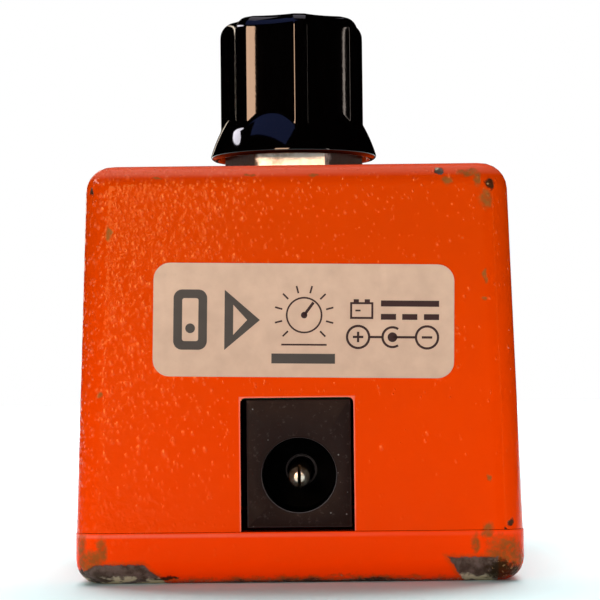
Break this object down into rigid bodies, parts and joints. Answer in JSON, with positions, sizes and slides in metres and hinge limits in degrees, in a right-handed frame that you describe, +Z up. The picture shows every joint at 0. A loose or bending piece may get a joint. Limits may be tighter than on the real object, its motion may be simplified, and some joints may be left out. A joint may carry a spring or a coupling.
{
  "type": "guitar effects pedal",
  "caption": "Compact one-knob guitar effects pedal: tapered die-cast box with footswitch, mode buttons, lamp, side jacks, end power socket and boards inside.",
  "frame": {"origin": "on the surface the pedal stands on, under the middle of the box", "axes": "+Z up, -Y towards the end wall with the power socket, +Y towards the player, input jack on -X, output jack on +X"},
  "size_m": [0.044, 0.0928, 0.051],
  "materials": {
    "orange_paint": "glossy orange paint with fine orange-peel",
    "label_film": "pale printed film",
    "knob_black": "glossy black moulding",
    "pointer_white": "white line let into the knob",
    "socket_black": "satin black moulding",
    "button_black": "satin black caps",
    "chip_black": "moulded epoxy",
    "nickel": "nickel plated",
    "bright_chrome": "polished chrome",
    "zinc_steel": "zinc plated steel",
    "contact_bronze": "phosphor bronze and tinned lugs",
    "board_green": "green solder resist on glass-epoxy",
    "blue_plastic": "blue moulding and sleeve",
    "film_brown": "dipped brown-red coating",
    "nylon": "off-white nylon",
    "led_clear": "tinted clear epoxy"
  },
  "bodies": {
    "chassis": {"base_plate": "orange_paint", "bias_trimmer_body": "blue_plastic", "board_header": "socket_black", "coupling_capacitor": "blue_plastic", "enclosure": "orange_paint", "film_capacitor_1": "film_brown", "film_capacitor_2": "film_brown", "footswitch_body": "blue_plastic", "footswitch_bushing": "nickel", "footswitch_frame": "zinc_steel", "footswitch_lock_nut": "nickel", "footswitch_nut": "nickel", "footswitch_ribbon": "nylon", "footswitch_spring": "zinc_steel", "footswitch_terminals": "contact_bronze", "footswitch_washer": "nylon", "input_jack_body": "socket_black", "input_jack_bushing": "nickel", "input_jack_nut": "nickel", "input_jack_tip_contact": "contact_bronze", "input_jack_washer": "nickel", "jack_board": "board_green", "led_bezel": "bright_chrome", "lid_screw_1": "zinc_steel", "lid_screw_2": "zinc_steel", "lid_screw_3": "zinc_steel", "lid_screw_4": "zinc_steel", "main_board": "board_green", "mode_switch_left": "socket_black", "mode_switch_right": "socket_black", "op_amp_1": "chip_black", "op_amp_2": "chip_black", "output_jack_body": "socket_black", "output_jack_bushing": "nickel", "output_jack_nut": "nickel", "output_jack_tip_contact": "contact_bronze", "output_jack_washer": "nickel", "pot_bushing": "nickel", "pot_housing": "zinc_steel", "pot_nut": "nickel", "pot_washer": "nickel", "power_board": "board_green", "power_socket_body": "socket_black", "power_socket_pin": "nickel", "power_socket_spring": "contact_bronze", "rating_label": "label_film", "status_led": "led_clear", "supply_capacitor": "blue_plastic"},
    "control_knob": {"knob": "knob_black", "knob_pointer": "pointer_white", "knob_set_screw": "zinc_steel", "pot_shaft": "nickel"},
    "footswitch_button": {"footswitch_plunger": "bright_chrome"},
    "mode_cap_left": {"mode_button_left": "button_black"},
    "mode_cap_right": {"mode_button_right": "button_black"},
    "trimmer_rotor": {"bias_trimmer_rotor": "nylon"}
  },
  "joints": [
    {"name": "knob_turn", "type": "hinge", "parent": "chassis", "child": "control_knob", "pos_m": [-0.0004, -0.0275, 0.042], "axis": [0, 0, -1], "range_deg": [-150, 150]},
    {"name": "footswitch_press", "type": "slide", "parent": "chassis", "child": "footswitch_button", "axis": [0, 0, -1], "range_m": [0, 0.0016], "stiffness_N_per_m": 4000, "springref_m": -0.003, "deforming": ["footswitch_spring"]},
    {"name": "mode_left_press", "type": "slide", "parent": "chassis", "child": "mode_cap_left", "axis": [0, 0, -1], "range_m": [0, 0.0008], "stiffness_N_per_m": 1500, "springref_m": -0.0012},
    {"name": "mode_right_press", "type": "slide", "parent": "chassis", "child": "mode_cap_right", "axis": [0, 0, -1], "range_m": [0, 0.0008], "stiffness_N_per_m": 1500, "springref_m": -0.0012},
    {"name": "trimmer_turn", "type": "hinge", "parent": "chassis", "child": "trimmer_rotor", "pos_m": [0.0115, -0.0198, 0.029], "axis": [0, 0, 1], "range_deg": [-135, 135]}
  ]
}
